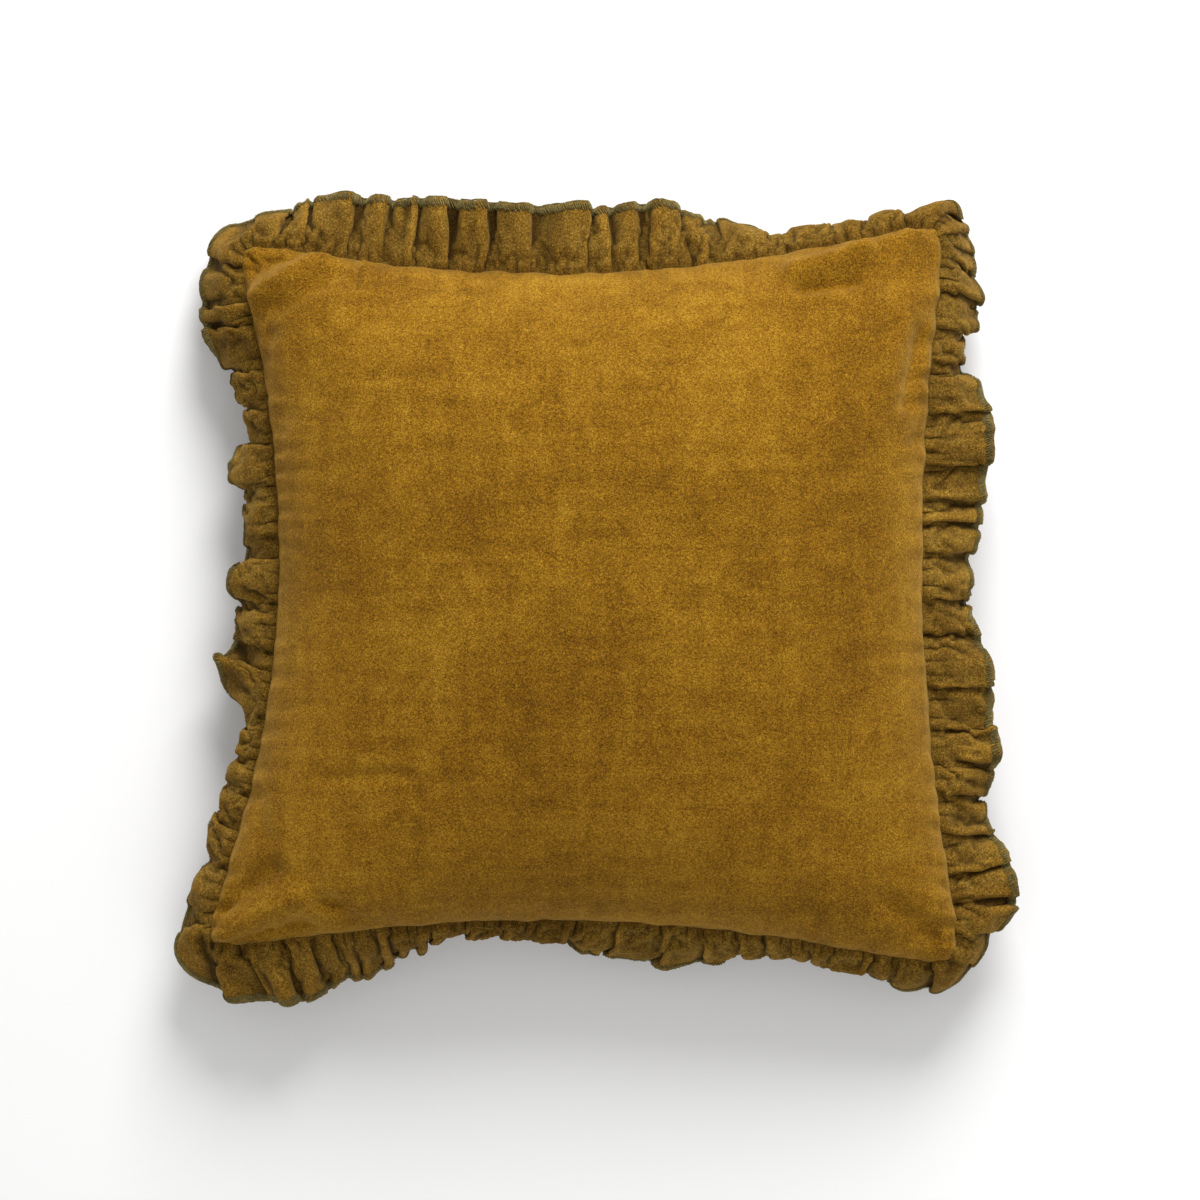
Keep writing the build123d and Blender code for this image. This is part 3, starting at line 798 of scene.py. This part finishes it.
def gathered_strip():
    """The ruffle as a closed grid: rows from inside the seam out to the hem, columns along it."""
    rng = np.random.default_rng(17)
    edges = gather_cells(rng)
    widths = np.diff(edges)
    counts = np.maximum(8, np.round(widths * FULLNESS / STRIP_STEP)).astype(int)
    counts[-1] -= counts.sum() % SIM_COLUMNS
    cell = np.repeat(np.arange(len(widths)), counts)
    t = np.concatenate([np.arange(n) / n for n in counts])
    middles = (edges[1:] + edges[:-1]) / 2
    s_flat = edges[cell] + widths[cell] * t
    size = np.interp(s_flat, middles, widths * rng.uniform(0.85, 1.25, len(widths)), period=SEAM_LENGTH)
    jitter = rng.uniform(-REACH_JITTER, REACH_JITTER, len(widths))
    jitter = np.interp(s_flat, middles, jitter, period=SEAM_LENGTH)
    lean = LEAN[0] + LEAN[1] * round_seam(5, 0.11, s_flat)
    slant = SLANT * round_seam(6, 0.22, s_flat)
    lift = LIFT * round_seam(7, 0.16, s_flat)
    tuck, tuck_reach = small_tucks(s_flat)
    level, drop = np.zeros(len(t)), np.zeros(len(t))
    rows = []
    for far in np.arange(-RUFFLE_INSIDE, RUFFLE_WIDTH + 1e-9, ROW_STEP):
        share = np.clip(far / RUFFLE_WIDTH, 0, 1)
        along, up = pleat_shape(SLOPE[0] + SLOPE[1] * share ** 0.7, t)
        free = smoothstep(far, -0.006, 0.002)  # 0 inside the seam, which presses the gathers flat
        height = size * up * FLATTEN * (0.15 + 0.85 * free) * (0.60 + 0.40 * smoothstep(share, 0, 0.5))
        height += tuck * np.exp(-(far / tuck_reach) ** 2) * free
        s = edges[cell] + widths[cell] * along + lean * height * free + slant * share * RUFFLE_WIDTH
        spot = np.interp(s % SEAM_LENGTH, SEAM_FAR, np.arange(len(SEAM_FAR)))
        root, out = along_line(SEAM, spot), unit(along_line(SEAM_OUT, spot))
        turn = tilt_for(reach_at(s) + jitter) * tilt_profile(share)
        if far > 0:
            level = level + ROW_STEP * np.cos(turn)
            drop = drop + ROW_STEP * np.sin(turn)
            place = root + out * level[:, None] - UP * (drop - lift * share)[:, None]
        else:
            place = root + out * far
        stand = LIFT_TILT * turn
        normal = out * np.sin(stand)[:, None] + UP * np.cos(stand)[:, None]
        rows.append(place + normal * height[:, None])
    starts = [int(np.searchsorted(s_flat, SEAM_FAR[k * CELLS])) for k in (1, 2, 3)]
    return np.stack(rows), [0, *starts, len(t)]


def relax_ruffle(grid):
    """Lets the gathered strip settle as cloth, held at its root and kept off the cushion."""
    coarse = grid[::SIM_ROWS, ::SIM_COLUMNS]
    rows, columns = coarse.shape[:2]
    obj = mesh_object("ruffle_sim", coarse, grid_faces(rows, columns, closed=True))
    pin = obj.vertex_groups.new(name="pin")
    held = int(RUFFLE_INSIDE / ROW_STEP / SIM_ROWS) + 1
    pin.add(list(range(held * columns)), 1.0, "REPLACE")
    modifier = cloth_settings(obj, "pin", bend=3.0, gravity=0.25, mass=0.0002)
    touch = modifier.collision_settings
    touch.collision_quality = 2
    touch.use_self_collision = True
    touch.self_distance_min = 0.0016
    blocks = []
    for k, face in enumerate((front[::FINE, ::FINE], back[::FINE, ::FINE])):
        block = mesh_object("block_%d" % k, face, grid_faces(*face.shape[:2], flip=k == 0))
        block.modifiers.new("touch", "COLLISION")
        block.collision.thickness_outer = 0.001
        blocks.append(block)
    shift = run_cloth(obj, modifier, RUFFLE_FRAMES, RUFFLE_CAP).reshape(coarse.shape)
    for o in [obj, *blocks]:
        bpy.data.objects.remove(o)
    return grid + finer(finer(shift, SIM_ROWS, 0), SIM_COLUMNS, 1, wrap=True)


ruffle, STARTS = gathered_strip()
ruffle = relax_ruffle(ruffle)
RUFFLE_UP = -grid_normals(ruffle, closed=True)
RUFFLE_HALF = 0.00065  # half the strip's thickness
HEM = ruffle.shape[0] - 1  # the row at the hem


def depth_below(reach):
    """How far each point of the ruffle lies under the mean of its neighbours along the strip."""
    window = range(-reach, reach + 1)
    around = sum(np.roll(ruffle, k, 1) for k in window) / len(window)
    facing = unit(sum(np.roll(RUFFLE_UP, k, 1) for k in window))
    return ((around - ruffle) * facing).sum(-1)


# 1 in the hollows and -1 on the crests, of broad folds and, with less weight, of fine ones. The
# ruffle's velvet paints shade in the hollows and a highlight on the crests from it.
PAINTED_FOLD_SHADE = np.clip(depth_below(7) / 0.0032 + 0.35 * depth_below(2) / 0.0006, -1, 1)


# ---- pieces of the cover
def finish_piece(piece, material, slot, *replaced, body="cushion"):
    """Gives a piece its material and its body, and hides the CAD nodes that it stands for. slot is not
    used.
    """
    piece.data.materials.append(material)
    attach(piece, body)
    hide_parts(*replaced)
    return piece


def shell(name, grid, outward, thickness):
    """A cloth shell whose outer face is the grid. outward is 1 or -1: the way grid_normals looks."""
    inner = grid - outward * grid_normals(grid) * thickness
    return slab(name, grid, inner) if outward < 0 else slab(name, inner, grid)


def cover_panel(name, grid, outward, node):
    piece = finish_piece(shell(name, grid, outward, VELVET), FACE_VELVET, "velvet", node)


cover_panel("velvet_front", front, 1, "front_panel")
cover_panel("velvet_back_lower", near_seam, -1, "back_panel_lower")
cover_panel("velvet_back_upper", rest_of_back, -1, "back_panel_upper")


# ---- overlocked hem and the ruffle's four strips
HEM_BAND = 0.0053  # how far the overlocking reaches in from the edge
HEM_PITCH = 0.00125  # one stitch to the next
HEM_THREAD = 0.00042  # radius of the thread that wraps over the edge
LOOPER_THREAD = 0.00050  # radius of the thread that runs along it


def on_strip(row, column, lift):
    """Points on the ruffle at fractional rows and columns, lift above its middle."""
    return at(ruffle, row, column) + lift[..., None] * unit(at(RUFFLE_UP, row, column))


def spaced_columns(row, first, last, pitch, rng):
    """Columns from first to last, a pitch apart along that row of the strip but for a jitter."""
    columns = np.arange(first, last + 1)
    far = lengths_along(ruffle[row, columns % ruffle.shape[1]])
    count = int(far[-1] / pitch)
    spots = (np.arange(count) + 0.5 + rng.uniform(-0.22, 0.22, count)) * far[-1] / count
    return np.interp(spots, far, columns)


def overlock(name, row, inwards, first, last, pitch, band, seed):
    """Thread wrapped over the strip's edge at that row, with a looper thread along the edge."""
    rng = np.random.default_rng(seed)
    columns = spaced_columns(row, first, last, pitch, rng)[:, None]
    slant = pitch / STRIP_STEP * 1.6  # each half of a wrap slants on by 1.6 stitches
    # Points of one wrap, from under one face round the edge to the other: in, up and along.
    depths = np.array([1.0, 0.66, 0.28, -0.16, 0.28, 0.66, 1.0]) * band
    lifts = np.array([0.7, 1.25, 1.1, 0.0, -1.1, -1.25, -0.7]) * (RUFFLE_HALF + HEM_THREAD * 0.7)
    shifts = np.array([1.0, 0.66, 0.3, 0.0, -0.3, -0.66, -1.0]) * slant
    ragged = 1 + rng.uniform(-0.18, 0.12, (len(columns), 1)) * (depths > 0)
    rows = row - inwards * depths * ragged / ROW_STEP
    inner = on_strip(np.clip(rows, 0, HEM), columns + shifts, lifts * np.ones_like(rows))
    edge = at(ruffle, np.full_like(columns, row), columns)
    before = at(ruffle, np.full_like(columns, row - inwards), columns)
    over = unit(edge - before) * np.maximum(0, -depths)[None, :, None]
    wraps = tubes(name, inner + over, HEM_THREAD, sides=4)
    line = (edge + unit(edge - before) * 0.0006)[:, 0]
    line = line + rng.normal(0, 0.00012, line.shape)
    looper = tubes(name + "_looper", line[None], LOOPER_THREAD, sides=6)
    return joined(wraps, looper)


def joined(first, *others):
    """Several meshes as one object, the first."""
    points = [vertex.co[:] for o in (first, *others) for vertex in o.data.vertices]
    faces, start = [], 0
    for o in (first, *others):
        faces += [[start + v for v in polygon.vertices] for polygon in o.data.polygons]
        start += len(o.data.vertices)
    name = first.name
    for o in (first, *others):
        bpy.data.objects.remove(o)
    return mesh_object(name, points, faces)


for k, side in enumerate(SIDES):
    first, last = STARTS[k], STARTS[k + 1]
    columns = np.arange(first, last + 1) % ruffle.shape[1]
    strip, up = ruffle[:, columns], RUFFLE_UP[:, columns]
    cloth = slab("velvet_ruffle_" + side, strip - up * RUFFLE_HALF, strip + up * RUFFLE_HALF)
    # Each point keeps how deep it lies in a fold, turned over on the strip's under face; the ruffle's
    # velvet paints shade and highlight from it.
    fold_shade = cloth.data.attributes.new("fold_shade", "FLOAT", "POINT")
    upper = PAINTED_FOLD_SHADE[:, columns].reshape(-1)
    fold_shade.data.foreach_set("value", 0.5 + 0.5 * np.concatenate([-upper, upper]))
    finish_piece(cloth, RUFFLE_VELVET_SHADED, "velvet", "ruffle_" + side)
    hem = overlock("overlocked_hem_" + side, HEM, 1, first, last, HEM_PITCH, HEM_BAND, 40 + k)
    finish_piece(hem, EDGE_THREAD, "edge_thread", "ruffle_edge_thread_" + side)


# ---- threads inside the seam
SEWN = 0.00022  # radius of the sewing thread
SEWN_RISE = 0.0003  # how far a stitch stands out of the cloth


def seam_stitches(name, depth, lift):
    """Lockstitches round the seam, on both faces of the ruffle's hidden root."""
    line = SEAM - SEAM_OUT * depth
    line = np.concatenate([line, line[:1]])
    faces = []
    for way in (1, -1):
        up = np.tile(UP * way, (len(line), 1))
        faces.append(stitches(line + up * lift, up, length=0.0026, gap=0.0007, rise=SEWN_RISE))
    return tubes(name, np.concatenate(faces), SEWN)


allowance = overlock(
    "seam_allowance_overlock", 0, -1, 0, ruffle.shape[1], pitch=0.0022, band=0.0035, seed=50
)
finish_piece(allowance, SEWING_THREAD, "sewing_thread", "allowance_overlock_thread")
closing = seam_stitches("closing_seam_stitches", depth=0.0045, lift=RUFFLE_HALF + 0.0008)
finish_piece(closing, SEWING_THREAD, "sewing_thread", "closing_seam_thread")


# ---- zip
TAPE_FACE = -0.0016  # the tape's outer face, below the velvet's
COIL_PITCH = 0.0015
COIL_WIRE = 0.00032  # radius of the monofilament
COIL_MIDDLE = (0.00135, 0.00105)  # a turn's middle: from the zip's middle, and from the tape
COIL_HALF = (0.00125, 0.00075)  # half the width and height of a turn
CORE_MIDDLE = (0.0016, 0.0009)  # the cord inside the turns, measured in the same way
CORE = 0.00030  # radius of the cord
TAPE_SEAM = 0.0066  # from the zip's middle to each row of its stitching


def on_zip(x, up, out):
    """Points given along the zip, across it towards the seam, and out of the velvet."""
    x, up, out = np.broadcast_arrays(x, up, out)
    along = np.array([1.0, 0.0, 0.0])
    return ZIP_AT + x[..., None] * along + up[..., None] * ZIP_UP + out[..., None] * ZIP_OUT


def coil(name, way, node):
    """One row of the zip's nylon coil: flattened turns whose noses meet the other row's."""
    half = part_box(node)[1].x
    turns = int(2 * half / COIL_PITCH)
    t = np.linspace(0, turns, turns * 12 + 1)
    turn = 2 * np.pi * t
    x = -half + t * COIL_PITCH + (COIL_PITCH / 2 if way > 0 else 0)
    across = way * (COIL_MIDDLE[0] + COIL_HALF[0] * np.cos(turn))
    out = TAPE_FACE + COIL_MIDDLE[1] + COIL_HALF[1] * np.sin(turn)
    spiral = tubes(name, on_zip(x, across, out)[None], COIL_WIRE)
    cord = on_zip(np.linspace(-half, half, 60), way * CORE_MIDDLE[0], TAPE_FACE + CORE_MIDDLE[1])
    core = tubes(name + "_core", cord[None], CORE)
    finish_piece(joined(spiral, core), COIL_NYLON, "zip_coil", node)


def zip_stitches(name):
    """Stitching that holds the tapes: a row each side of the slot and a bar at each end."""
    reach = ZIP_SLOT + 0.0015
    row, bar = np.linspace(-reach, reach, 200), np.linspace(-TAPE_SEAM, TAPE_SEAM, 20)
    made = []
    for x, up in ((row, TAPE_SEAM), (row, -TAPE_SEAM), (reach, bar), (-reach, bar)):
        line = on_zip(x, up, 0.0)
        lift = np.tile(ZIP_OUT, (len(line), 1))
        made.append(stitches(line, lift, length=0.0027, gap=0.0006, rise=SEWN_RISE))
    return tubes(name, np.concatenate(made), SEWN)


coil("nylon_coil_lower", 1, "zip_coil_lower")
coil("nylon_coil_upper", -1, "zip_coil_upper")
finish_piece(zip_stitches("zip_seam_stitches"), SEWING_THREAD, "sewing_thread", "zip_stitching")


def redress(node, material):
    """A carried-over CAD node with a better material in each of its slots."""
    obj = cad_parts[node]
    for place in obj.material_slots:
        place.material = material
    if not obj.material_slots:
        obj.data.materials.append(material)


for node in ("zip_tape_upper", "zip_tape_lower"):
    redress(node, TAPE_WEAVE)
for node in ("zip_top_stops", "zip_bottom_stop", "zip_slider", "zip_pull"):
    redress(node, BRASS)


# ---- pad
PAD_SEWN = 0.00024  # radius of the thread round its edge
PAD_SHARE = 0.940  # the pad's size over the cover's
PAD_GAP = 0.0034  # from the velvet's outer face in to the casing's
FILL_SHARE = 0.988  # the filling's size over the casing's
FILL_GAP = 0.0009  # from the casing's outer face in to the filling's


def nested(grid, share):
    """The same face, drawn in towards the middle of the seam plane."""
    middle = np.array([0.0, 0.0, SEAM_Z])
    level = np.array([share, share, 1 - (1 - share) * 0.65])  # less in height than in plan
    return middle + (grid - middle) * level


def held_inside(face, cover, gap, side):
    """Moves a face in where it comes nearer than gap to the cover over (1) or under (-1) it."""
    tree = BVHTree.FromPolygons(cover.reshape(-1, 3).tolist(), grid_faces(*cover.shape[:2]))
    fade = EDGE_FADE[::2, ::2]
    held = face.copy()
    for k in np.ndindex(*face.shape[:2]):
        x, y, z = face[k].tolist()
        hit = tree.ray_cast((x, y, side), (0, 0, -side))[0]
        if hit is not None:
            limit = hit.z - side * gap * fade[k]
            held[k][2] = min(z, limit) if side > 0 else max(z, limit)
    return held


def pad_pieces():
    """The loose pad: two cotton casings sewn together round a body of fibre."""
    front_case, back_case = nested(front[::2, ::2], PAD_SHARE), nested(back[::2, ::2], PAD_SHARE)
    front_case = held_inside(front_case, front, PAD_GAP, 1)
    back_case = held_inside(back_case, back, PAD_GAP, -1)
    for name, grid, outward, node in (
        ("cotton_casing_front", front_case, 1, "pad_casing_front"),
        ("cotton_casing_back", back_case, -1, "pad_casing_back"),
    ):
        piece = finish_piece(shell(name, grid, outward, COTTON), PAD_COTTON, "pad_cotton", node)
    rim = rim_of(front_case)
    rim = np.concatenate([rim, rim[:1]])
    out = np.concatenate([SEAM_OUT[::2], SEAM_OUT[:1]])[:len(rim)]
    sewn = stitches(rim, out, length=0.0030, gap=0.0006, rise=0.0004)
    edge = tubes("casing_edge_stitches", sewn, PAD_SEWN)
    finish_piece(edge, PAD_THREAD, "pad_thread", "pad_seam_thread")
    fill_front, fill_back = nested(front_case, FILL_SHARE), nested(back_case, FILL_SHARE)
    lumps = 0.0008 * patchy(61, front_case[..., 0] * 2, front_case[..., 1] * 2, 14)
    fade = EDGE_FADE[::2, ::2]
    fill_front = fill_front - UP * ((0.001 + lumps) * fade)[..., None]
    fill_front = held_inside(fill_front, front_case, FILL_GAP, 1)
    filling = slab("fibre_filling", fill_back, fill_front)
    finish_piece(filling, PAD_FIBRE, "pad_filling", "pad_filling")


pad_pieces()


# ---- floor, light and camera
FLOOR_HALF = 3.0
PAPER = (0.93, 0.93, 0.925)
WORLD = 0.56  # strength of the even light from all round
VIEW_WIDTH = 0.7246  # width of the view where the seam lies
LENS, SENSOR = 100, 36  # millimetres

corners = [(x * FLOOR_HALF, y * FLOOR_HALF, 0) for x, y in ((-1, -1), (1, -1), (1, 1), (-1, 1))]
floor = mesh_object("floor", corners, [(0, 1, 2, 3)], False)
floor.data.materials.append(new_material("paper", PAPER, 0.9)[0])


def area_light(name, place, target, size, power):
    light = bpy.data.lights.new(name, "AREA")
    light.shape = "DISK"
    light.size, light.energy = size, power
    obj = bpy.data.objects.new(name, light)
    obj.location = place
    obj.rotation_euler = (Vector(target) - Vector(place)).to_track_quat("-Z", "Y").to_euler()
    bpy.context.scene.collection.objects.link(obj)


area_light("key", (0.35, 1.65, 1.25), (0, 0, 0.08), size=1.1, power=48)
area_light("fill", (0.9, -1.3, 1.9), (0, 0, 0.05), size=1.6, power=7)
world = bpy.data.worlds.new("studio")
world.use_nodes = True
world.node_tree.nodes["Background"].inputs["Color"].default_value = (1, 1, 1, 1)
world.node_tree.nodes["Background"].inputs["Strength"].default_value = WORLD
bpy.context.scene.world = world
bpy.context.scene.view_settings.view_transform = "Standard"

camera_data = bpy.data.cameras.new("camera")
camera_data.lens, camera_data.sensor_width = LENS, SENSOR
camera = bpy.data.objects.new("camera", camera_data)
camera.location = (0, 0.001, SEAM_Z + VIEW_WIDTH * LENS / SENSOR)
bpy.context.scene.collection.objects.link(camera)
bpy.context.scene.camera = camera
